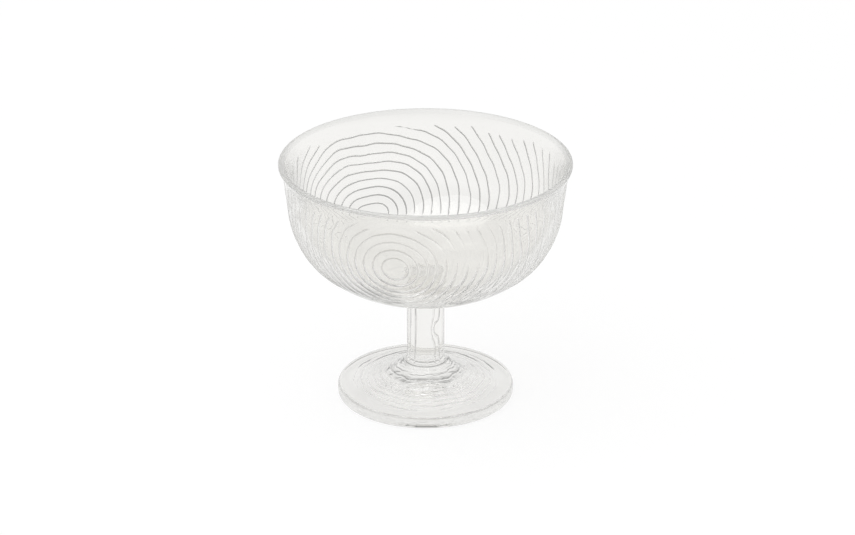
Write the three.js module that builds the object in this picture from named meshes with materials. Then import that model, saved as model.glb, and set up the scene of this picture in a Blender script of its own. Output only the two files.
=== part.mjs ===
// Footed ice cream cup in clear pressed glass: a bowl with growth-ring relief, a grained stem, a ringed foot.
// Millimetres, +Z up, -Y to the front, origin in the middle of the ring that the foot stands on.
// The three glass pieces are fused hot, flat face to flat face, so each stands on the one below without a gap.
import * as THREE from "three";

// Foot
const FOOT_DIAMETER = 70.6;
const FOOT_EDGE_HEIGHT = 5;
const FOOT_EDGE_ROUND = 1.7;
const FOOT_HUB_HEIGHT = 14.5;
const FOOT_HUB_DIAMETER = 17.6;
const FOOT_SWEEP = 2.2; // power of the curve that falls from hub to edge
const FOOT_REST_DIAMETER = 60; // inner edge of the ring it stands on
const FOOT_HOLLOW = 3; // rise of the underside within that ring

// Stem
const STEM_LENGTH = 32.7;
const STEM_DIAMETER = 14.4;
const STEM_END_DIAMETER = 16; // the glass spreads a little where it was pressed to its neighbours
const STEM_SPREAD = 2.6; // height of that spread

// Bowl
const BOWL_HEIGHT = 52.8;
const BOWL_SEAT_DIAMETER = 17; // flat under the bowl where the stem is fused on
const BOWL_CROWN_RADIUS = 230; // nearly flat underside
const BOWL_CORNER_RADIUS = 35.6; // turn from underside to side
const BOWL_TAPER = THREE.MathUtils.degToRad(5.6); // lean of the side
const BOWL_SIDE_DIAMETER = 107.8; // at the top of the straight side
const BOWL_WALL = 3;
const BOWL_FLOOR = 4.5;
const NECK_FLARE = 0.85; // how far the neck, where the lip begins, is wider all round than that
const NECK_DROP = 10.5; // from the top of the rim down to the neck
const LIP_RISE = 17; // from the top of the straight side to the top of the rim
const LIP_SWAY = 3; // length of the handles of the curves into the neck and out into the lip
const LIP_LEAN = THREE.MathUtils.degToRad(35); // how far the lip turns out at its edge
const RIM_OVERHANG = 2.75; // how far the rim stands out over the neck
const RIM_THICKNESS = 2.2; // of its round edge

// Raised lines of the relief
const LINE_HEIGHT = 0.45;
const LINE_WIDTH = 1.2;
const RING_PITCH = 3.45; // of the growth rings on the bowl, at a knot
const RING_WIDENING = 250; // distance from a knot at which the pitch has doubled
const FOOT_RING_PITCH = 2.3; // at the hub
const FOOT_RING_WIDENING = 30; // distance from the hub at which the pitch has doubled
const FOOT_WAVER = 0.6; // share of the lines' waver that the foot's rings have
const STEM_LINES = 13;
const STEM_WAVER = 0.4; // share of the waver that the stem's lines have
const STEM_SIDES = 4; // sides of the stem at which its lines crowd
const STEM_CROWDING = 0.125; // how far the lines are turned towards those sides, in radians
const STEM_SIDES_TURN = THREE.MathUtils.degToRad(40); // where the first of them lies, in waves

// Knots that the bowl's rings grow round: turn from the front, way up the glass from the seat, half length of
// the level core, radius of the first ring round it, and how far the rings are drawn out to either side.
const KNOTS = [
  { turn: THREE.MathUtils.degToRad(-12.5), run: 66.6, core: 0, first: 5, draw: [1.05, 1.05] },
  { turn: THREE.MathUtils.degToRad(-150.6), run: 48.9, core: 6, first: 4, draw: [1.18, 1.15] },
];
const KNOT_BLEND = 2; // distance over which the rings of two knots flow together
const KNOT_CALM = 20; // distance from a knot within which its rings waver less
// Slow waver of every raised line: its size, its waves in a full turn, and its waves along the outline
const WAVERS = [
  { size: 0.5, turns: 7, length: 55 },
  { size: 0.3, turns: 15, length: -31 },
];

const PLAIN_CORNER_ROWS = 1; // rows of the corner below the first raised lines
const LINED_LIP_ROWS = 1; // rows of the lip over which the raised lines run out
const LEVEL_SNAP = 0.05; // a mesh point this near to a foot or crest, in pitches, is moved onto it
const BOWL_COLUMNS = 44;
const FOOT_COLUMNS = 24;
const STEM_COLUMNS = 20;

const spread = (steps, from, to, point) =>
  Array.from({ length: steps + 1 }, (_, i) => point(from + ((to - from) * i) / steps));

function footOutline() {
  const edge = FOOT_DIAMETER / 2;
  const hub = FOOT_HUB_DIAMETER / 2;
  const rest = FOOT_REST_DIAMETER / 2;
  const brow = edge - FOOT_EDGE_ROUND;
  const low = FOOT_EDGE_HEIGHT - FOOT_EDGE_ROUND;
  const underside = spread(4, 0, 1, (t) => new THREE.Vector2(rest * t, FOOT_HOLLOW * (1 - t * t)));
  const toe = spread(3, -Math.PI / 2, 0, (a) =>
    new THREE.Vector2(brow + FOOT_EDGE_ROUND * Math.cos(a), FOOT_EDGE_ROUND * (1 + Math.sin(a))));
  const brim = spread(3, 0, Math.PI / 2, (a) =>
    new THREE.Vector2(brow + FOOT_EDGE_ROUND * Math.cos(a), low + FOOT_EDGE_ROUND * Math.sin(a)));
  const sweep = spread(6, 1, 0, (t) => new THREE.Vector2(
    hub + (brow - hub) * t,
    FOOT_EDGE_HEIGHT + (FOOT_HUB_HEIGHT - FOOT_EDGE_HEIGHT) * (1 - t) ** FOOT_SWEEP,
  ));
  const outline = [underside, toe, brim, sweep.slice(1), [new THREE.Vector2(0, FOOT_HUB_HEIGHT)]].flat();
  return { outline, first: outline.length - sweep.length, last: outline.length - 2 };
}

function stemOutline() {
  const shaft = STEM_DIAMETER / 2;
  const extra = STEM_END_DIAMETER / 2 - shaft;
  const radius = (z) => {
    const near = Math.max(0, 1 - Math.min(z, STEM_LENGTH - z) / STEM_SPREAD);
    return shaft + extra * near ** 2;
  };
  const heights = [0, STEM_SPREAD / 2, ...spread(5, STEM_SPREAD, STEM_LENGTH - STEM_SPREAD, (z) => z),
    STEM_LENGTH - STEM_SPREAD / 2, STEM_LENGTH];
  const outline = [new THREE.Vector2(0, 0), ...heights.map((z) => new THREE.Vector2(radius(z), z)),
    new THREE.Vector2(0, STEM_LENGTH)];
  return { outline, first: 1, last: heights.length };
}

function bowlOutline() {
  const seat = BOWL_SEAT_DIAMETER / 2;
  const crownHeight = Math.sqrt(BOWL_CROWN_RADIUS ** 2 - seat ** 2);
  const shoulder = new THREE.Vector2(BOWL_SIDE_DIAMETER / 2, BOWL_HEIGHT - LIP_RISE);
  const up = new THREE.Vector2(Math.sin(BOWL_TAPER), Math.cos(BOWL_TAPER));
  const inward = new THREE.Vector2(-up.y, up.x);

  // The corner arc touches the side and, from within, the crown arc of the underside.
  const offset = shoulder.clone().addScaledVector(inward, BOWL_CORNER_RADIUS);
  const toCrown = offset.clone().sub(new THREE.Vector2(0, crownHeight));
  const reach = BOWL_CROWN_RADIUS - BOWL_CORNER_RADIUS;
  const along = toCrown.dot(up);
  const straight = along + Math.sqrt(along ** 2 - toCrown.lengthSq() + reach ** 2);
  const corner = offset.clone().addScaledVector(up, -straight);
  const turn = Math.asin(corner.x / reach);
  const sideSlope = Math.PI / 2 - BOWL_TAPER;

  // A point of the underside or corner, by its slope, set into the glass by a depth.
  const wall = (slope, depth) => {
    const crown = slope < turn;
    const radius = (crown ? BOWL_CROWN_RADIUS : BOWL_CORNER_RADIUS) - depth;
    const centre = crown ? new THREE.Vector2(0, crownHeight) : corner;
    return new THREE.Vector2(centre.x + radius * Math.sin(slope), centre.y - radius * Math.cos(slope));
  };
  const thickness = (slope) => {
    const share = (Math.cos(slope) - Math.cos(sideSlope)) / (1 - Math.cos(sideSlope));
    return BOWL_WALL + (BOWL_FLOOR - BOWL_WALL) * share;
  };
  const curve = (from, fromWay, to, toWay, reaching, steps) => new THREE.CubicBezierCurve(
    from, from.clone().addScaledVector(fromWay, reaching), to.clone().addScaledVector(toWay, -reaching), to,
  ).getPoints(steps);

  const neck = new THREE.Vector2(shoulder.x + NECK_FLARE, BOWL_HEIGHT - NECK_DROP);
  const round = RIM_THICKNESS / 2;
  const turns = [-LIP_LEAN, ...spread(3, 0, Math.PI / 2, (a) => a), (Math.PI * 3) / 4 - LIP_LEAN / 2,
    Math.PI - LIP_LEAN];
  const edge = turns.map((a) => new THREE.Vector2(
    neck.x + RIM_OVERHANG - round + round * Math.cos(a), BOWL_HEIGHT - round + round * Math.sin(a)));
  const outward = new THREE.Vector2(Math.sin(LIP_LEAN), Math.cos(LIP_LEAN));
  const innerShoulder = shoulder.clone().addScaledVector(inward, BOWL_WALL);
  const underside = spread(2, Math.asin(seat / BOWL_CROWN_RADIUS), turn, (slope) => wall(slope, 0));
  const corners = spread(5, turn, sideSlope, (slope) => wall(slope, 0)).slice(1);
  const side = [
    shoulder.clone().addScaledVector(up, -straight / 2),
    ...curve(shoulder, up, neck, up, LIP_SWAY, 2),
  ];
  const lip = curve(neck, up, edge[0], outward, LIP_SWAY, 3).slice(1, -1);
  const inside = [
    curve(innerShoulder, up, edge.at(-1), outward, 2 * LIP_SWAY, 3).slice(0, -1).reverse(),
    spread(5, sideSlope, turn, (slope) => wall(slope, thickness(slope))),
    spread(2, turn, 0, (slope) => wall(slope, thickness(slope))).slice(1),
  ].flat();
  const outline = [new THREE.Vector2(0, 0), ...underside, ...corners, ...side, ...lip, ...edge, ...inside];
  const first = 1 + underside.length + PLAIN_CORNER_ROWS;
  const last = underside.length + corners.length + side.length + LINED_LIP_ROWS;
  return { outline, first, last };
}

const waver = (angle, run) => WAVERS.reduce(
  (sum, { size, turns, length }) => sum + size * Math.sin(turns * angle + (2 * Math.PI * run) / length), 0);

// The growth fields count the raised lines: a line runs wherever its field is a whole number from 0 up.
function bowlGrowth(angle, run) {
  const near = KNOTS.map(({ turn, run: up, core, first, draw }) => {
    const aside = Math.atan2(Math.sin(angle - turn), Math.cos(angle - turn)) * (BOWL_SIDE_DIAMETER / 2);
    const drawn = (Math.hypot(aside, core) - core) / draw[aside < 0 ? 0 : 1];
    return Math.exp((first - Math.hypot(drawn, run - up)) / KNOT_BLEND);
  });
  const away = -KNOT_BLEND * Math.log(near.reduce((sum, part) => sum + part, 0));
  const wavering = away + waver(angle, run) * THREE.MathUtils.smoothstep(away, 0, KNOT_CALM);
  return (RING_WIDENING / RING_PITCH) * Math.log(1 + wavering / RING_WIDENING);
}
function stemGrowth(angle, run) {
  const crowding = STEM_CROWDING * Math.sin(STEM_SIDES * angle + STEM_SIDES_TURN);
  const wavering = (STEM_WAVER * waver(angle, run)) / (STEM_DIAMETER / 2);
  return STEM_LINES * (1 + (angle - crowding + wavering) / (2 * Math.PI));
}
function footGrowth(angle, run, whole) {
  const away = whole - STEM_END_DIAMETER / 2 - run + FOOT_WAVER * waver(angle, run);
  return (FOOT_RING_WIDENING / FOOT_RING_PITCH) * Math.log(1 + away / FOOT_RING_WIDENING);
}

// A turned body. From its first to its last relief row it carries the raised lines of a growth field: each
// triangle there is cut where the foot or crest of a line crosses it, and its points are lifted by the line.
function turned({ outline, first, last }, columns, pitch, growth) {
  const lathe = new THREE.LatheGeometry(outline, columns).rotateX(Math.PI / 2);
  const rows = outline.length;
  const half = LINE_WIDTH / 2 / pitch;
  const runs = [0];
  for (let row = 1; row < rows; row += 1) runs.push(runs[row - 1] + outline[row].distanceTo(outline[row - 1]));

  const lineLevels = (line) => (line < 0 ? [] : [line - half, line, line + half]);
  const settled = (level) =>
    lineLevels(Math.round(level)).find((near) => Math.abs(near - level) < LEVEL_SNAP) ?? level;
  const lift = (level) => (Math.round(level) < 0 ? 0
    : LINE_HEIGHT * Math.max(0, 1 - Math.abs(level - Math.round(level)) / half));

  const positions = [];
  const faces = [];
  const addPoint = (spot, out, level, share) => {
    positions.push(...spot.clone().addScaledVector(out, share * lift(level)));
    return positions.length / 3 - 1;
  };

  // Grid points: both ends of the outline lie on the axis, so each of them is one point.
  const placed = new Map();
  const gridPoint = (column, row) => {
    const source = (row % (rows - 1) === 0 ? 0 : column % columns) * rows + row;
    const spot = new THREE.Vector3().fromBufferAttribute(lathe.getAttribute("position"), source);
    const out = new THREE.Vector3().fromBufferAttribute(lathe.getAttribute("normal"), source);
    const lined = row >= first && row <= last;
    const share = row > first && row < last ? 1 : 0;
    const level = lined ? settled(growth((2 * Math.PI * column) / columns, runs[row], runs[rows - 1])) : -1;
    if (!placed.has(source)) placed.set(source, addPoint(spot, out, level, share));
    return { index: placed.get(source), spot, out, level, lined, share };
  };

  // Points where lines cross the edge from p to q, in that order. Both triangles of an edge share them.
  const crossed = new Map();
  const crossings = (p, q) => {
    if (!p.lined || !q.lined) return [];
    const low = Math.min(p.level, q.level);
    const high = Math.max(p.level, q.level);
    const levels = [];
    for (let line = Math.floor(low); line <= Math.ceil(high); line += 1) {
      levels.push(...lineLevels(line).filter((level) => level > low && level < high));
    }
    if (p.level > q.level) levels.reverse();
    const ends = [p.index, q.index].sort((a, b) => a - b);
    if (!crossed.has(ends.join())) {
      const made = levels.map((level) => {
        const t = (level - p.level) / (q.level - p.level);
        return addPoint(p.spot.clone().lerp(q.spot, t), p.out.clone().lerp(q.out, t), level,
          THREE.MathUtils.lerp(p.share, q.share, t));
      });
      crossed.set(ends.join(), p.index === ends[0] ? made : made.reverse());
    }
    const shared = crossed.get(ends.join());
    const inOrder = p.index === ends[0] ? shared : shared.toReversed();
    return levels.map((level, n) => ({ level, index: inOrder[n] }));
  };

  const addFan = (ring) => {
    for (let n = 2; n < ring.length; n += 1) faces.push(ring[0].index, ring[n - 1].index, ring[n].index);
  };
  const addTriangle = (a, b, c) => {
    const [ab, bc, ca] = [crossings(a, b), crossings(b, c), crossings(c, a)];
    if (!a.lined) return addFan([a, b, ...bc, c]);
    if (!b.lined) return addFan([b, c, ...ca, a]);
    if (!c.lined) return addFan([c, a, ...ab, b]);
    const levels = new Set([ab, bc, ca].flat().map(({ level }) => level));
    const bounds = [-Infinity, ...[...levels].sort((x, y) => x - y), Infinity];
    const ring = [a, ...ab, b, ...bc, c, ...ca];
    for (let n = 1; n < bounds.length; n += 1) {
      addFan(ring.filter(({ level }) => level >= bounds[n - 1] && level <= bounds[n]));
    }
    return undefined;
  };
  for (let column = 0; column < columns; column += 1) {
    for (let row = 0; row < rows - 1; row += 1) {
      const [a, b] = [gridPoint(column, row), gridPoint(column + 1, row)];
      const [c, d] = [gridPoint(column + 1, row + 1), gridPoint(column, row + 1)];
      if (row > 0) addTriangle(a, b, d);
      if (row < rows - 2) addTriangle(c, d, b);
    }
  }
  return new THREE.BufferGeometry()
    .setAttribute("position", new THREE.Float32BufferAttribute(positions, 3))
    .setIndex(faces);
}

function piece(name, geometry, height, colour) {
  geometry.computeVertexNormals();
  const glass = new THREE.MeshStandardMaterial({
    color: colour, roughness: 0.05, metalness: 0, transparent: true, opacity: 0.35,
  });
  const mesh = new THREE.Mesh(geometry, glass);
  mesh.name = name;
  mesh.position.z = height;
  return mesh;
}

const bowl = turned(bowlOutline(), BOWL_COLUMNS, RING_PITCH, bowlGrowth);
const stem = turned(stemOutline(), STEM_COLUMNS, (Math.PI * STEM_DIAMETER) / STEM_LINES, stemGrowth);
const foot = turned(footOutline(), FOOT_COLUMNS, FOOT_RING_PITCH, footGrowth);

const cup = new THREE.Group();
cup.name = "ice_cream_cup";
cup.add(
  piece("foot", foot, 0, 0xe4e8e6),
  piece("stem", stem, FOOT_HUB_HEIGHT, 0xe2e6e4),
  piece("bowl", bowl, FOOT_HUB_HEIGHT + STEM_LENGTH, 0xe6eae8),
);

export default cup;
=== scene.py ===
"""Footed ice cream cup in clear pressed glass on a plain pale floor.

Each of the three glass pieces is one closed surface turned about Z. Its relief is made of raised lines that
follow the level lines of a growth field, as the rings of a tree do. Lengths are in metres, turns in radians.
"""
import math
from collections import namedtuple

import bpy
import numpy as np
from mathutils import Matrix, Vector


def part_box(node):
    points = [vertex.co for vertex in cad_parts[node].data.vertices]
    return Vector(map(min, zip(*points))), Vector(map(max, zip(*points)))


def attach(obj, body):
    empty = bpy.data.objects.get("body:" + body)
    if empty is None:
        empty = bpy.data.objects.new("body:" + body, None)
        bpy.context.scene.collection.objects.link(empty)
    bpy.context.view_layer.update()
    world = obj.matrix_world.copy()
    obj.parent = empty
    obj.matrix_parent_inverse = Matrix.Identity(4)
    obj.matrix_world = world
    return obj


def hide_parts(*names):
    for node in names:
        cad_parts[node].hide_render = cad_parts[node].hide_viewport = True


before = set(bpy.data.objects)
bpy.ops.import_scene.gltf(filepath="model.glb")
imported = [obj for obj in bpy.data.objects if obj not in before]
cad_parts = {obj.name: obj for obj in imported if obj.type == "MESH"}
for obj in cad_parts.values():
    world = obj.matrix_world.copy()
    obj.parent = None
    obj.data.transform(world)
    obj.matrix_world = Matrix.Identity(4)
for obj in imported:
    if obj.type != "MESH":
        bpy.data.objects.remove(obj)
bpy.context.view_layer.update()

MM = 0.001
TOUCH = 0.001 * MM  # points nearer than this lie on the same face

# Sizes that the frame gives
FOOT_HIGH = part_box("foot")[1]
STEM_LOW, STEM_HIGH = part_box("stem")
BOWL_LOW, BOWL_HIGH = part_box("bowl")
FOOT_RADIUS = FOOT_HIGH.x
HUB_HEIGHT = FOOT_HIGH.z
STEM_LENGTH = STEM_HIGH.z - STEM_LOW.z
STEM_END_RADIUS = STEM_HIGH.x
BOWL_SEAT_HEIGHT = BOWL_LOW.z
BOWL_HEIGHT = BOWL_HIGH.z - BOWL_LOW.z
RIM_RADIUS = BOWL_HIGH.x

# Outlines
FOOT_EDGE_HEIGHT = 5 * MM
FOOT_EDGE_ROUND = 1.7 * MM
FOOT_HUB_RADIUS = 8.8 * MM
FOOT_SWEEP = 2.2
FOOT_REST_RADIUS = 30 * MM
FOOT_HOLLOW = 3 * MM
STEM_RADIUS = 7.2 * MM
STEM_SPREAD = 2.6 * MM
BOWL_SEAT_RADIUS = 8.5 * MM
BOWL_CROWN_RADIUS = 230 * MM
BOWL_CORNER_RADIUS = 35.6 * MM
BOWL_TAPER = math.radians(5.6)
BOWL_SIDE_RADIUS = 53.9 * MM
BOWL_WALL = 3 * MM
BOWL_FLOOR = 4.5 * MM
NECK_RADIUS = 54.75 * MM
NECK_DROP = 10.5 * MM
LIP_RISE = 17 * MM
LIP_SWAY = 3 * MM
LIP_LEAN = math.radians(35)
RIM_THICKNESS = 2.2 * MM

# Rows of points along the stretches of the outlines, and columns round the axis
UNDER_ROWS, EDGE_ROWS, SWEEP_ROWS = 16, 13, 44
STEM_SPREAD_ROWS, STEM_SIDE_ROWS = 5, 26
CROWN_ROWS, CORNER_ROWS, SIDE_ROWS = 8, 32, 8
SHOULDER_ROWS, LIP_ROWS, RIM_ROWS = 8, 12, 21
INNER_LIP_ROWS, INNER_CORNER_ROWS = 16, 24
FOOT_COLUMNS, STEM_COLUMNS, BOWL_COLUMNS = 180, 96, 192

# Raised lines
LINE_HEIGHT = 0.42 * MM
LINE_WIDTH = 1.05 * MM
LINE_STEPS = (-1.2, -0.75, -0.35, 0, 0.35, 0.75, 1.2)  # cuts of the mesh along a line, in half widths
LINE_RATES = 0.15, 1.4  # growth rates between which a line keeps its width
CALM_RATES = 0.1, 0.35  # growth rates between which a line rises from nothing, at a summit of the field
SWELL, SWELL_TURNS, SWELL_SHIFT = 0.12, 3, 2.4  # size, times in a full turn, shift from line to line
OUTWARD = 0.05  # least outward lean of a surface that has lines
UNLINED = -9  # growth of points off the lines

# Lines of the bowl
RING_PITCH = 3.45 * MM
RING_WIDENING = 250 * MM
KNOTS = (  # turn from the front, way up, half length of the core, first ring round it, draw to either side
    (math.radians(-12.5), 66.6 * MM, 0, 5 * MM, 1.05, 1.05),
    (math.radians(-150.6), 48.9 * MM, 6 * MM, 4 * MM, 1.18, 1.15),
)
KNOT_BLEND = 2 * MM
KNOT_CALM = 20 * MM
WAVERS = (  # size, waves in a full turn, wavelength along the outline, phase
    (0.5 * MM, 7, 55 * MM, 0.0),
    (0.3 * MM, 15, -31 * MM, 0.0),
    (0.12 * MM, 37, 17 * MM, 2.2),
)
BOWL_LINES_LOW, BOWL_LINES_HIGH = 56 * MM, 93.4 * MM
BOWL_LOW_FADE, BOWL_HIGH_FADE = 4 * MM, 1 * MM
BOWL_ENDS = ((0.7 * MM, 9, 1), (0.5 * MM, 23, 0))  # ragged upper ends: size, waves in a full turn, phase
PATCH_TURN, PATCH_HEIGHT = math.radians(15), 82.5 * MM  # nearly plain patch beside the front knot
PATCH_WIDTH, PATCH_RISE, PATCH_PLAIN = 12 * MM, 8.5 * MM, 0.95

# Lines of the stem
STEM_LINES = 13
STEM_WAVER = 0.4
STEM_SIDES = 4  # sides at which the lines crowd
STEM_CROWDING, STEM_CROWDING_PHASE = 0.125, math.radians(40)
STEM_FADE_END, STEM_FADE = 1 * MM, 9 * MM  # ways below the bowl between which the lines fade out
FRONT_TURN, FRONT_WIDTH, FRONT_PLAIN = math.radians(6.5), 0.2, 0.75  # line along the front that is only faint
EYE_TURN, EYE_HEIGHT = math.radians(31), 30 * MM  # small knot that the lines part round
EYE_WIDTH, EYE_LENGTH, EYE_PUSH = 0.24, 4 * MM, 1.25

# Lines of the foot
FOOT_RING_PITCH = 2.3 * MM
FOOT_RING_WIDENING = 90 * MM
FOOT_WAVER = 0.6
FOOT_PLAIN = 0.16 * MM  # height above the edge at which the rings end
FOOT_FADE = 0.12 * MM
FOOT_ENDS = ((0.05 * MM, 5, 0), (0.04 * MM, 11, 2))
FOOT_STEPS = ((0.2, 0.1 * MM, 0.8 * MM), (0.39, 2 * MM, 7 * MM))  # gain between two ways below the hub
BROW_SHADE, BROW_SHADE_WIDTH = 0.65, 0.5 * MM  # strength and half width of the painted shade lines round the foot's edge

# Looks of the glass
REFRACTION = 1.5
BODY_COLOR = (0.92, 0.914, 0.894, 1)
# Painted shade on the crests of the raised lines, standing in for the light that the ridges throw aside
CREST_SHADE_COLOR = (0.03, 0.03, 0.028, 1)
CREST_SHOWS = 0.3, 0.62  # heights of a line, as shares, between which its painted shade sets in
CREST_OUTSIDE, CREST_WITHIN = 0.3, 0.85  # share of painted shade on a line seen from outside and from within the glass
CREST_DEPTHS, CREST_DEEP = (1, 3), 0.3  # ray depths between which the painted shade fades, and what is left
# Painted shade: grey colour over the top of the rim
RIM_SHADE_COLOR = (0.82, 0.82, 0.8, 1)
RIM_DEPTH, RIM_SOFTNESS, RIM_BLUR = 0.65 * RIM_THICKNESS, 0.4 * MM, 0.3
# Painted shade: colour darkened where the glass is seen at a glance
GLANCE_SHADE_COLOR = (0.2, 0.2, 0.19, 1)
GLANCES, GLANCE_SHARE = (0.45, 0.9), 0.42  # glances between which painted shade darkens the glass, and how much
POLISH, POLISH_SPREAD, POLISH_SCALE, POLISH_DETAIL = 0.02, (0.5, 1.5), 90, 3
CLOUDS, CLOUD_SCALE, CLOUD_DETAIL = (0.975, 1), 35, 2
SKIN_WAVES, SKIN_HEIGHT, SKIN_SCALE, SKIN_DETAIL = 0.12, 0.5 * MM, 110, 1
NOISE_RANGE = 0.3, 0.7

# Camera, floor and light
CAMERA_DISTANCE = 1.184
CAMERA_ELEVATION = math.radians(23.83)
CAMERA_AIM = Vector((0, 0, 54.07 * MM))
CAMERA_LENS, CAMERA_SENSOR = 125.84, 36
CAMERA_SHIFT = 0.0023
FLOOR_SIZE = 6.0
FLOOR_GAP = 0.1 * MM
FLOOR_GREY, FLOOR_GLOW = 0.13, 0.894
SKY = ((0.7, 0.95), (0.78, 0.33), (0.86, 0.33), (0.95, 0.7))  # height from nadir to zenith as a share, grey
LAMP_PLACE, LAMP_AIM = Vector((-0.5, -0.3, 1.6)), Vector((0, 0, 0.05))
LAMP_SIZE, LAMP_POWER = 1.8, 11
BOUNCES = 64

# Columns of the point data: place, outward direction, growth, share of the full line height, growth rate
PLACE, OUT, GROWTH, SHARE, RATE = slice(0, 3), slice(3, 6), 6, 7, 8

Relief = namedtuple("Relief", "pitch growth share whole_turn")


def samples(count, low, high):
    """Evenly spaced values from low to high."""
    return np.linspace(low, high, count)


def arc(centre, radius, angles):
    """Points of a circle round a centre (r, z), by their angles from the outward direction."""
    return np.stack([centre[0] + radius * np.cos(angles), centre[1] + radius * np.sin(angles)], axis=1)


def bezier(start, start_handle, end_handle, end, count):
    """Points of a cubic curve with the given ends and handles."""
    t = samples(count, 0, 1)[:, None]
    points = [np.asarray(p, float) for p in (start, start_handle, end_handle, end)]
    weights = [(1 - t) ** 3, 3 * t * (1 - t) ** 2, 3 * t * t * (1 - t), t ** 3]
    return sum(w * p for w, p in zip(weights, points))


def rising(value, low, high):
    """0 below low, 1 above high, and the smooth step t t (3 - 2 t) between."""
    t = np.clip((value - low) / (high - low), 0, 1)
    return t * t * (3 - 2 * t)


def turn_from(angle, zero):
    """Signed turn from a zero direction, the short way round."""
    return np.arctan2(np.sin(angle - zero), np.cos(angle - zero))


def foot_outline():
    """Outline (r, z) of the foot from the axis under it to the axis on its hub.

    The hollow is a parabola, the edge two quarter circles, and the top rises by a power of the way in.
    """
    brow = FOOT_RADIUS - FOOT_EDGE_ROUND
    t = samples(UNDER_ROWS, 0, 1)
    under = np.stack([FOOT_REST_RADIUS * t, FOOT_HOLLOW * (1 - t ** 2)], axis=1)
    toe = arc((brow, FOOT_EDGE_ROUND), FOOT_EDGE_ROUND, samples(EDGE_ROWS, -math.pi / 2, 0))
    brim_height = FOOT_EDGE_HEIGHT - FOOT_EDGE_ROUND
    brim = arc((brow, brim_height), FOOT_EDGE_ROUND, samples(EDGE_ROWS, 0, math.pi / 2))
    t = samples(SWEEP_ROWS, 1, 0)
    sweep = np.stack([
        FOOT_HUB_RADIUS + (brow - FOOT_HUB_RADIUS) * t,
        FOOT_EDGE_HEIGHT + (HUB_HEIGHT - FOOT_EDGE_HEIGHT) * (1 - t) ** FOOT_SWEEP,
    ], axis=1)
    hub = np.array([[STEM_END_RADIUS, HUB_HEIGHT], [0, HUB_HEIGHT]])
    return np.concatenate([under, toe, brim, sweep[1:], hub])


def stem_outline():
    """Outline (r, z) of the stem, whose ends spread by the square of the nearness to the end."""
    low, high = STEM_SPREAD, STEM_LENGTH - STEM_SPREAD
    z = np.concatenate([
        samples(STEM_SPREAD_ROWS, 0, low),
        samples(STEM_SIDE_ROWS, low, high)[1:-1],
        samples(STEM_SPREAD_ROWS, high, STEM_LENGTH),
    ])
    near = np.clip(1 - np.minimum(z, STEM_LENGTH - z) / STEM_SPREAD, 0, 1)
    side = np.stack([STEM_RADIUS + (STEM_END_RADIUS - STEM_RADIUS) * near ** 2, z], axis=1)
    return np.concatenate([[[0, 0]], side, [[0, STEM_LENGTH]]]) + (0, HUB_HEIGHT)


def bowl_outline():
    """Outline (r, z) of the bowl: crown arc, corner arc, leaning side, out-turned lip, and back inside.

    Crown and corner are arcs by slope s: centre plus radius times (sin s, -cos s). The corner's arc touches
    the crown and the straight side. Shoulder and lip are cubic curves, and the rim is half a circle. The
    inside follows the same arcs, set in by a thickness that grows with the cosine of the slope.
    """
    crown_height = math.sqrt(BOWL_CROWN_RADIUS ** 2 - BOWL_SEAT_RADIUS ** 2)
    shoulder = np.array([BOWL_SIDE_RADIUS, BOWL_HEIGHT - LIP_RISE])
    up = np.array([math.sin(BOWL_TAPER), math.cos(BOWL_TAPER)])
    inward = np.array([-up[1], up[0]])
    offset = shoulder + BOWL_CORNER_RADIUS * inward
    to_crown = offset - (0, crown_height)
    reach = BOWL_CROWN_RADIUS - BOWL_CORNER_RADIUS
    along = to_crown @ up
    straight = along + math.sqrt(along ** 2 - to_crown @ to_crown + reach ** 2)
    corner = offset - straight * up
    turn = math.asin(corner[0] / reach)
    side_slope = math.pi / 2 - BOWL_TAPER

    def wall(slope, depth):
        """Underside or corner by slope, set into the glass by a depth."""
        crown = slope < turn
        radius = np.where(crown, BOWL_CROWN_RADIUS, BOWL_CORNER_RADIUS) - depth
        centre_r = np.where(crown, 0, corner[0])
        centre_z = np.where(crown, crown_height, corner[1])
        return np.stack([centre_r + radius * np.sin(slope), centre_z - radius * np.cos(slope)], axis=1)

    def thickness(slope):
        """Thickness of the glass: the wall's at the side's slope and the floor's where it lies flat."""
        share = (np.cos(slope) - math.cos(side_slope)) / (1 - math.cos(side_slope))
        return BOWL_WALL + (BOWL_FLOOR - BOWL_WALL) * share

    def curve(start, start_way, end, end_way, reaching, count):
        """Cubic curve that leaves its start one way and comes to its end another way."""
        return bezier(start, start + reaching * start_way, end - reaching * end_way, end, count)

    tube = RIM_THICKNESS / 2
    lean = samples(RIM_ROWS, -LIP_LEAN, math.pi - LIP_LEAN)
    edge = arc((RIM_RADIUS - tube, BOWL_HEIGHT - tube), tube, lean)
    outward = np.array([math.sin(LIP_LEAN), math.cos(LIP_LEAN)])
    neck = np.array([NECK_RADIUS, BOWL_HEIGHT - NECK_DROP])
    inner_shoulder = shoulder + BOWL_WALL * inward
    seat_slope = math.asin(BOWL_SEAT_RADIUS / BOWL_CROWN_RADIUS)
    inner_slopes = np.concatenate([
        samples(INNER_CORNER_ROWS, side_slope, turn),
        samples(CROWN_ROWS, turn, 0)[1:],
    ])
    inside = wall(inner_slopes, thickness(inner_slopes))
    inside[-1, 0] = 0
    outline = np.concatenate([
        [[0, 0], [STEM_END_RADIUS, 0]],
        wall(samples(CROWN_ROWS, seat_slope, turn), 0),
        wall(samples(CORNER_ROWS, turn, side_slope)[1:], 0),
        shoulder - straight * samples(SIDE_ROWS, 1, 0)[1:, None] * up,
        curve(shoulder, up, neck, up, LIP_SWAY, SHOULDER_ROWS)[1:],
        curve(neck, up, edge[0], outward, LIP_SWAY, LIP_ROWS)[1:],
        edge[1:],
        curve(inner_shoulder, up, edge[-1], outward, 2 * LIP_SWAY, INNER_LIP_ROWS)[-2::-1],
        inside[1:],
    ])
    return outline + (0, BOWL_SEAT_HEIGHT)


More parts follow.
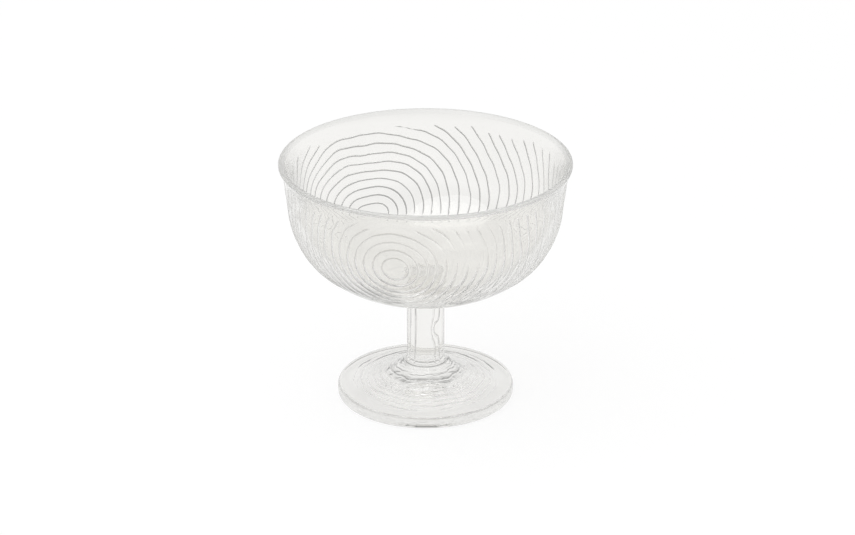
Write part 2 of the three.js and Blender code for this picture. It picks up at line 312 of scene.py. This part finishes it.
def waver(angle, run):
    """Slow sideways wander of every raised line: a sum of sines of the turn and the way along the outline."""
    return sum(size * np.sin(turns * angle + 2 * math.pi * run / length + phase)
               for size, turns, length, phase in WAVERS)


def ragged(angle, waves):
    """Uneven height at which lines end: a sum of sines of the turn."""
    return sum(size * np.sin(turns * angle + phase) for size, turns, phase in waves)


def bowl_growth(angle, run, height):
    """Rings counted outwards from the nearer knot: log of the soft least distance, whose pitch widens slowly.

    The distance to a knot is the root of the drawn-out way aside of its core squared plus the way up squared.
    """
    near = 0
    for turn, up, core, first, before, after in KNOTS:
        aside = turn_from(angle, turn) * BOWL_SIDE_RADIUS
        drawn = (np.hypot(aside, core) - core) / np.where(aside < 0, before, after)
        near = near + np.exp((first - np.hypot(drawn, run - up)) / KNOT_BLEND)
    away = -KNOT_BLEND * np.log(near)
    away = away + waver(angle, run) * rising(away, 0, KNOT_CALM)
    return RING_WIDENING / RING_PITCH * np.log(1 + away / RING_WIDENING)


def bowl_share(angle, height):
    """How far the bowl's lines stand out: they end raggedly under the neck, fade out below and skip a patch.

    The patch is a bell curve of the ways aside and up from its middle.
    """
    low = rising(height, BOWL_LINES_LOW, BOWL_LINES_LOW + BOWL_LOW_FADE)
    high = rising(BOWL_LINES_HIGH + ragged(angle, BOWL_ENDS) - height, 0, BOWL_HIGH_FADE)
    aside = turn_from(angle, PATCH_TURN) * BOWL_SIDE_RADIUS / PATCH_WIDTH
    patch = np.exp(-aside ** 2 - ((height - PATCH_HEIGHT) / PATCH_RISE) ** 2)
    return low * high * (1 - PATCH_PLAIN * patch)


def stem_growth(angle, run, height):
    """Lines along the stem, counted round it and crowded at its sides. An eye, a bump of it, parts them."""
    off = turn_from(angle, EYE_TURN)
    eye = EYE_PUSH * np.exp(-(off / EYE_WIDTH) ** 2 - ((height - EYE_HEIGHT) / EYE_LENGTH) ** 2)
    crowding = STEM_CROWDING * np.sin(STEM_SIDES * angle + STEM_CROWDING_PHASE)
    wander = STEM_WAVER * waver(angle, run) / STEM_RADIUS
    return STEM_LINES * (1 + (angle - crowding + wander) / (2 * math.pi)) + eye


def stem_share(angle, height):
    """The stem's lines end where it spreads below, fade out under the bowl and are faint along the front."""
    plain = 1 - FRONT_PLAIN * np.exp(-(turn_from(angle, FRONT_TURN) / FRONT_WIDTH) ** 2)
    low = rising(height, HUB_HEIGHT, HUB_HEIGHT + STEM_SPREAD)
    high = rising(BOWL_SEAT_HEIGHT - height, STEM_FADE_END, STEM_FADE)
    return plain * low * high


def foot_growth(angle, run, height):
    """Rings counted outwards from the hub: log of the way out, so that their pitch widens outwards."""
    away = run.max() - STEM_END_RADIUS - run + FOOT_WAVER * waver(angle, run)
    return FOOT_RING_WIDENING / FOOT_RING_PITCH * np.log(1 + away / FOOT_RING_WIDENING)


def foot_share(angle, height):
    """The foot's rings end raggedly at its plain edge, and get lower in two smooth steps up the hub."""
    end = FOOT_EDGE_HEIGHT + FOOT_PLAIN + ragged(angle, FOOT_ENDS)
    below = HUB_HEIGHT - height
    return rising(height - end, 0, FOOT_FADE) * sum(gain * rising(below, *ways) for gain, *ways in FOOT_STEPS)


def turned_grid(outline, columns, relief):
    """Point data of an outline turned about Z, its triangles, and which points lie on lined rows.

    Point (row, column) is (r sin a, -r cos a, z) at angle a = 2 pi column / columns. Rows on the axis are one
    point each. The growth rate is the growth over one pitch, from its differences along and round.
    """
    rows = len(outline)
    step = np.gradient(outline, axis=0)
    out = np.stack([step[:, 1], -step[:, 0]], axis=1)
    out /= np.linalg.norm(out, axis=1, keepdims=True)
    run = np.concatenate([[0], np.cumsum(np.linalg.norm(np.diff(outline, axis=0), axis=1))])[:, None]
    angle = 2 * math.pi * np.arange(columns)[None, :] / columns

    def spun(flat):
        """Pairs (r, z) of the rows turned to every column."""
        r, z = flat[:, :1], flat[:, 1:]
        return np.stack([r * np.sin(angle), -r * np.cos(angle), z + 0 * angle], axis=2).reshape(-1, 3)

    index = np.arange(rows * columns).reshape(rows, columns)
    index[0] = index[0, 0]
    index[-1] = index[-1, 0]
    beside = np.roll(index, -1, axis=1)
    a, b, c, d = index[:-1], beside[:-1], beside[1:], index[1:]
    faces = np.concatenate([np.stack(corners, axis=2).reshape(-1, 3) for corners in ([a, b, c], [a, c, d])])
    whole = (faces[:, 0] != faces[:, 1]) & (faces[:, 1] != faces[:, 2]) & (faces[:, 2] != faces[:, 0])
    outside = (out[:, 0] > OUTWARD)[:, None]
    stands = np.where(outside, relief.share(angle, outline[:, 1:]), 0)
    lined = np.repeat(stands.max(axis=1) > 0, columns)
    field = relief.growth(angle, run, outline[:, 1:])
    around = np.roll(field, -1, axis=1) - np.roll(field, 1, axis=1)
    if relief.whole_turn:
        around -= relief.whole_turn * np.round(around / relief.whole_turn)
    around *= columns / (4 * math.pi * np.maximum(outline[:, :1], MM))
    rate = relief.pitch * np.hypot(around, np.gradient(field, run[:, 0], axis=0))
    flat = [values.reshape(-1, 1) for values in (field, stands, rate)]
    data = np.concatenate([spun(outline), spun(out), *flat], axis=1)
    data[~lined, GROWTH] = UNLINED
    return data, faces[whole], lined


def cut_along(data, faces, lined, level, whole_turn):
    """Cuts every lined edge where the growth field passes a whole number plus the level.

    An edge that crosses gets a point there, blended from its ends. A triangle with one or two such edges
    falls into two or three triangles. whole_turn is what the field gains in a full turn.
    """
    edges = np.sort(faces[:, [[0, 1], [1, 2], [2, 0]]], axis=2)
    keys, place = np.unique(edges.reshape(-1, 2) @ [len(data), 1], return_inverse=True)
    low, high = keys // len(data), keys % len(data)
    start, end = data[low, GROWTH], data[high, GROWTH]
    if whole_turn:
        end = end + whole_turn * np.round((start - end) / whole_turn)
    line = np.ceil(np.minimum(start, end) - level)
    at = line + level
    between = (at > np.minimum(start, end)) & (at < np.maximum(start, end))
    crosses = between & (line >= 0) & lined[low] & lined[high]
    t = ((at - start) / np.where(crosses, end - start, 1))[crosses, None]
    made = (1 - t) * data[low[crosses]] + t * data[high[crosses]]
    made[:, GROWTH] = at[crosses]
    new = np.full(len(keys), -1)
    new[crosses] = len(data) + np.arange(len(made))
    middle = new[place].reshape(-1, 3)
    count = (middle >= 0).sum(axis=1)

    def turned_to(which, first_edge):
        """Corners and cuts of the triangles with a given count, starting from a given edge of each."""
        order = (first_edge[:, None] + np.arange(3)) % 3
        return np.take_along_axis(faces[which], order, 1), np.take_along_axis(middle[which], order, 1)

    one, one_cut = turned_to(count == 1, np.argmax(middle[count == 1] >= 0, axis=1))
    two, two_cut = turned_to(count == 2, np.argmax(middle[count == 2] < 0, axis=1))
    faces = np.concatenate([
        faces[count == 0],
        np.stack([one[:, 0], one_cut[:, 0], one[:, 2]], axis=1),
        np.stack([one_cut[:, 0], one[:, 1], one[:, 2]], axis=1),
        np.stack([two[:, 2], two_cut[:, 2], two_cut[:, 1]], axis=1),
        np.stack([two[:, 0], two[:, 1], two_cut[:, 1]], axis=1),
        np.stack([two[:, 0], two_cut[:, 1], two_cut[:, 2]], axis=1),
    ])
    return np.concatenate([data, made]), faces, np.concatenate([lined, np.ones(len(made), bool)])


def line_profile(data, half):
    """Raised lines, 0 to 1: a cosine wave across a line, as wide everywhere, that swells along it."""
    line = np.round(data[:, GROWTH])
    off = np.clip(np.abs(data[:, GROWTH] - line) / (half * np.clip(data[:, RATE], *LINE_RATES)), 0, 1)
    angle = np.arctan2(data[:, 0], -data[:, 1])
    swell = 1 - SWELL + SWELL * np.sin(SWELL_TURNS * angle + SWELL_SHIFT * line)
    stands = data[:, SHARE] * rising(data[:, RATE], *CALM_RATES) * swell
    return np.where(line >= 0, (0.5 + 0.5 * np.cos(math.pi * off)) * stands, 0)


def brow_shade(points):
    """Painted shade lines, 0 to 1, round the two corners of the foot's edge, which darken the colour only: a
    bell curve of the way from them.
    """
    inset = FOOT_EDGE_ROUND * (1 - math.sqrt(0.5))
    aside = np.hypot(points[:, 0], points[:, 1]) - (FOOT_RADIUS - inset)
    off = np.minimum(*(np.hypot(aside, points[:, 2] - z) for z in (inset, FOOT_EDGE_HEIGHT - inset)))
    return BROW_SHADE * np.exp(-(off / BROW_SHADE_WIDTH) ** 2)


def glass_piece(node, outline, columns, relief, materials):
    """A closed turned glass piece with its raised lines, riding on the root body in place of its CAD node.

    Each point moves along its outward direction by the line height times the line's profile there.
    """
    data, faces, lined = turned_grid(outline, columns, relief)
    half = LINE_WIDTH / 2 / relief.pitch
    for step in LINE_STEPS:
        data, faces, lined = cut_along(data, faces, lined, step * half, relief.whole_turn)
    used, faces = np.unique(faces, return_inverse=True)
    faces = faces.reshape(-1, 3)
    data = data[used]
    line = line_profile(data, half)
    points = data[:, PLACE] + LINE_HEIGHT * line[:, None] * data[:, OUT]
    # The line attribute also takes the painted shade lines round the foot's edge, which darken the colour
    # only; the points are already placed
    line = np.maximum(line, brow_shade(points))
    mesh = bpy.data.meshes.new(node)
    mesh.from_pydata(points, [], faces)
    mesh.polygons.foreach_set("use_smooth", np.ones(len(faces), bool))
    mesh.attributes.new("line", "FLOAT", "POINT").data.foreach_set("value", line.astype(np.float32))
    corners = points[faces]
    off_joints = np.abs(corners[:, :, 2:] - np.array([HUB_HEIGHT, BOWL_SEAT_HEIGHT])).max(axis=1).min(axis=1)
    reach = np.hypot(corners[:, :, 0], corners[:, :, 1]).max(axis=1)
    fused = (off_joints < TOUCH) & (reach < STEM_END_RADIUS + TOUCH)
    mesh.polygons.foreach_set("material_index", fused.astype(np.int32))
    for material in materials:
        mesh.materials.append(material)
    mesh.update()
    piece = bpy.data.objects.new("glass_" + node, mesh)
    bpy.context.scene.collection.objects.link(piece)
    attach(piece, "root")
    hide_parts(node)


def feed(tree, socket, value):
    """Links an output to a socket, or sets the socket's plain value."""
    if isinstance(value, bpy.types.NodeSocket):
        tree.links.new(value, socket)
    else:
        socket.default_value = value


def maths(tree, operation, *values):
    """Result of a Math node."""
    node = tree.nodes.new("ShaderNodeMath")
    node.operation = operation
    for socket, value in zip(node.inputs, values):
        feed(tree, socket, value)
    return node.outputs[0]


def ranged(tree, value, start, end=(0, 1), steps="LINEAR"):
    """Value brought from the range start to the range end, and kept in it."""
    node = tree.nodes.new("ShaderNodeMapRange")
    node.interpolation_type = steps
    for name, level in zip(("Value", "From Min", "From Max", "To Min", "To Max"), (value, *start, *end)):
        feed(tree, node.inputs[name], level)
    return node.outputs["Result"]


def mixed(tree, share, first, second, blend="MIX"):
    """Colour mixed from two by a share of the second."""
    node = tree.nodes.new("ShaderNodeMix")
    node.data_type, node.blend_type = "RGBA", blend
    for name, value in (("Factor", share), ("A", first), ("B", second)):
        feed(tree, node.inputs[name], value)
    return node.outputs["Result"]


def shaded(name, surface):
    """Material whose surface is the shader that a function makes in its tree."""
    material = bpy.data.materials.new(name)
    material.use_nodes = True
    tree = material.node_tree
    tree.nodes.clear()
    output = tree.nodes.new("ShaderNodeOutputMaterial")
    tree.links.new(surface(tree), output.inputs["Surface"])
    return material


def glass_look():
    """Node group of pressed glass: clouded body, painted shade on the line crests, painted shade and blur on
    the rim, fire-polished skin.
    """
    tree = bpy.data.node_groups.new("pressed_glass", "ShaderNodeTree")
    for name, kind, value in (
        ("Body Color", "NodeSocketColor", BODY_COLOR),
        ("Crest Painted Shade", "NodeSocketColor", CREST_SHADE_COLOR),
        ("Crest", "NodeSocketFloat", 0),
        ("Edge Painted Shade", "NodeSocketColor", RIM_SHADE_COLOR),
        ("Edge Height", "NodeSocketFloat", BOWL_HIGH.z),
        ("Edge Blur", "NodeSocketFloat", RIM_BLUR),
        ("Polish", "NodeSocketFloat", POLISH),
        ("Waviness", "NodeSocketFloat", SKIN_WAVES),
    ):
        tree.interface.new_socket(name, in_out="INPUT", socket_type=kind).default_value = value
    for name, kind in (("Color", "Color"), ("Roughness", "Float"), ("Normal", "Vector")):
        tree.interface.new_socket(name, in_out="OUTPUT", socket_type="NodeSocket" + kind)
    given = tree.nodes.new("NodeGroupInput").outputs
    result = tree.nodes.new("NodeGroupOutput").inputs
    place = tree.nodes.new("ShaderNodeTexCoord").outputs["Object"]

    def noise(scale, detail):
        """Noise in the piece's own coordinates."""
        texture = tree.nodes.new("ShaderNodeTexNoise")
        for name, value in (("Vector", place), ("Scale", scale), ("Detail", detail)):
            feed(tree, texture.inputs[name], value)
        return texture.outputs["Fac"]

    clouds = ranged(tree, noise(CLOUD_SCALE, CLOUD_DETAIL), NOISE_RANGE, CLOUDS)
    body = mixed(tree, 1, given["Body Color"], clouds, "MULTIPLY")
    # Painted shade: colour mixed towards a dark crest colour on the crests of the raised lines
    crest_shaded = mixed(tree, given["Crest"], body, given["Crest Painted Shade"])
    axes = tree.nodes.new("ShaderNodeSeparateXYZ")
    feed(tree, axes.inputs[0], place)
    # Painted shade on the rim: the colour turns grey above a height under the rim top, where the roughness
    # rises too
    above = maths(tree, "SUBTRACT", axes.outputs["Z"], given["Edge Height"])
    edge = ranged(tree, above, (-RIM_SOFTNESS, RIM_SOFTNESS))
    feed(tree, result["Color"], mixed(tree, edge, crest_shaded, given["Edge Painted Shade"]))

    spread = ranged(tree, noise(POLISH_SCALE, POLISH_DETAIL), NOISE_RANGE, POLISH_SPREAD)
    polish = maths(tree, "MULTIPLY", given["Polish"], spread)
    feed(tree, result["Roughness"], maths(tree, "MULTIPLY_ADD", edge, given["Edge Blur"], polish))

    skin = tree.nodes.new("ShaderNodeBump")
    skin.inputs["Distance"].default_value = SKIN_HEIGHT
    feed(tree, skin.inputs["Strength"], given["Waviness"])
    feed(tree, skin.inputs["Height"], noise(SKIN_SCALE, SKIN_DETAIL))
    feed(tree, result["Normal"], skin.outputs["Normal"])
    return tree


def pressed_glass(tree):
    """Clear glass with painted shade that stands in for light thrown aside: its line crests are darkened,
    most when seen from within, and so is the glass at a glance.
    """
    look = tree.nodes.new("ShaderNodeGroup")
    look.node_tree = glass_look()
    line = tree.nodes.new("ShaderNodeAttribute")
    line.attribute_name = "line"
    # Painted shade on the line crests, stronger on faces seen from within and weaker after a few bounces
    crest_shade = ranged(tree, line.outputs["Fac"], CREST_SHOWS, steps="SMOOTHSTEP")
    side = tree.nodes.new("ShaderNodeNewGeometry")
    within = ranged(tree, side.outputs["Backfacing"], (0, 1), (CREST_OUTSIDE, CREST_WITHIN))
    path = tree.nodes.new("ShaderNodeLightPath")
    deep = ranged(tree, path.outputs["Ray Depth"], CREST_DEPTHS, (1, CREST_DEEP))
    feed(tree, look.inputs["Crest"], maths(tree, "MULTIPLY", maths(tree, "MULTIPLY", crest_shade, within), deep))
    feed(tree, look.inputs["Edge Height"], BOWL_HIGH.z - RIM_DEPTH)
    # Painted shade towards the outline, where the surface is seen at a glance
    view = tree.nodes.new("ShaderNodeLayerWeight")
    glance_shade = ranged(tree, view.outputs["Facing"], GLANCES, (0, GLANCE_SHARE), "SMOOTHSTEP")
    shader = tree.nodes.new("ShaderNodeBsdfPrincipled")
    for name, value in (
        ("IOR", REFRACTION),
        ("Transmission Weight", 1),
        ("Base Color", mixed(tree, glance_shade, look.outputs["Color"], GLANCE_SHADE_COLOR)),
        ("Roughness", look.outputs["Roughness"]),
        ("Normal", look.outputs["Normal"]),
    ):
        feed(tree, shader.inputs[name], value)
    return shader.outputs["BSDF"]


def fused_joint(tree):
    """Fused faces between two pieces: the glass goes on, so light passes straight through."""
    return tree.nodes.new("ShaderNodeBsdfTransparent").outputs["BSDF"]


def pale_floor(tree):
    """Matt floor that also shows as white to the camera and through the glass."""
    matt = tree.nodes.new("ShaderNodeBsdfDiffuse")
    matt.inputs["Color"].default_value = (FLOOR_GREY, FLOOR_GREY, FLOOR_GREY, 1)
    path = tree.nodes.new("ShaderNodeLightPath").outputs
    through = maths(tree, "MAXIMUM", path["Is Glossy Ray"], path["Is Transmission Ray"])
    seen = maths(tree, "MAXIMUM", path["Is Camera Ray"], through)
    glow = tree.nodes.new("ShaderNodeEmission")
    feed(tree, glow.inputs["Strength"], maths(tree, "MULTIPLY", seen, FLOOR_GLOW))
    both = tree.nodes.new("ShaderNodeAddShader")
    for socket, shader in zip(both.inputs, (matt, glow)):
        feed(tree, socket, shader.outputs[0])
    return both.outputs[0]


def add_floor():
    """Square floor just under the foot."""
    half = FLOOR_SIZE / 2
    corners = [(x * half, y * half, -FLOOR_GAP) for x, y in ((-1, -1), (1, -1), (1, 1), (-1, 1))]
    mesh = bpy.data.meshes.new("floor")
    mesh.from_pydata(corners, [], [(0, 1, 2, 3)])
    floor = bpy.data.objects.new("floor", mesh)
    bpy.context.scene.collection.objects.link(floor)
    mesh.materials.append(shaded("pale_floor", pale_floor))


def add_world():
    """White up to the horizon, darker above it, and pale overhead."""
    world = bpy.data.worlds.new("studio")
    world.use_nodes = True
    tree = world.node_tree
    tree.nodes.clear()
    axes = tree.nodes.new("ShaderNodeSeparateXYZ")
    feed(tree, axes.inputs[0], tree.nodes.new("ShaderNodeTexCoord").outputs["Generated"])
    ramp = tree.nodes.new("ShaderNodeValToRGB")
    stops = ramp.color_ramp.elements
    for height, grey in SKY:
        stops.new(height).color = (grey, grey, grey, 1)
    for first_or_last in (0, -1):
        stops.remove(stops[first_or_last])
    feed(tree, ramp.inputs[0], maths(tree, "MULTIPLY_ADD", axes.outputs["Z"], 0.5, 0.5))
    background = tree.nodes.new("ShaderNodeBackground")
    feed(tree, background.inputs["Color"], ramp.outputs["Color"])
    output = tree.nodes.new("ShaderNodeOutputWorld")
    feed(tree, output.inputs["Surface"], background.outputs[0])
    bpy.context.scene.world = world


def add_light():
    """Large soft disc lamp, above and to the left."""
    lamp = bpy.data.lights.new("softbox", "AREA")
    lamp.shape = "DISK"
    lamp.size = LAMP_SIZE
    lamp.energy = LAMP_POWER
    holder = bpy.data.objects.new("softbox", lamp)
    holder.location = LAMP_PLACE
    holder.rotation_euler = (LAMP_AIM - LAMP_PLACE).to_track_quat("-Z", "Y").to_euler()
    bpy.context.scene.collection.objects.link(holder)


def add_camera():
    """Camera in front, looking down on the cup."""
    camera = bpy.data.cameras.new("camera")
    camera.sensor_fit = "HORIZONTAL"
    camera.sensor_width = CAMERA_SENSOR
    camera.lens = CAMERA_LENS
    camera.shift_x = CAMERA_SHIFT
    holder = bpy.data.objects.new("camera", camera)
    back = Vector((0, -math.cos(CAMERA_ELEVATION), math.sin(CAMERA_ELEVATION)))
    holder.location = CAMERA_AIM + CAMERA_DISTANCE * back
    holder.rotation_euler = (-back).to_track_quat("-Z", "Y").to_euler()
    bpy.context.scene.collection.objects.link(holder)
    bpy.context.scene.camera = holder


glass = (shaded("clear_pressed_glass", pressed_glass), shaded("fused_joint", fused_joint))
foot_relief = Relief(FOOT_RING_PITCH, foot_growth, foot_share, 0)
stem_relief = Relief(2 * math.pi * STEM_RADIUS / STEM_LINES, stem_growth, stem_share, STEM_LINES)
bowl_relief = Relief(RING_PITCH, bowl_growth, bowl_share, 0)
glass_piece("foot", foot_outline(), FOOT_COLUMNS, foot_relief, glass)
glass_piece("stem", stem_outline(), STEM_COLUMNS, stem_relief, glass)
glass_piece("bowl", bowl_outline(), BOWL_COLUMNS, bowl_relief, glass)
add_floor()
add_world()
add_light()
add_camera()
scene = bpy.context.scene
scene.view_settings.view_transform = "Standard"
for limit in ("max_bounces", "transmission_bounces", "glossy_bounces", "transparent_max_bounces"):
    setattr(scene.cycles, limit, BOUNCES)
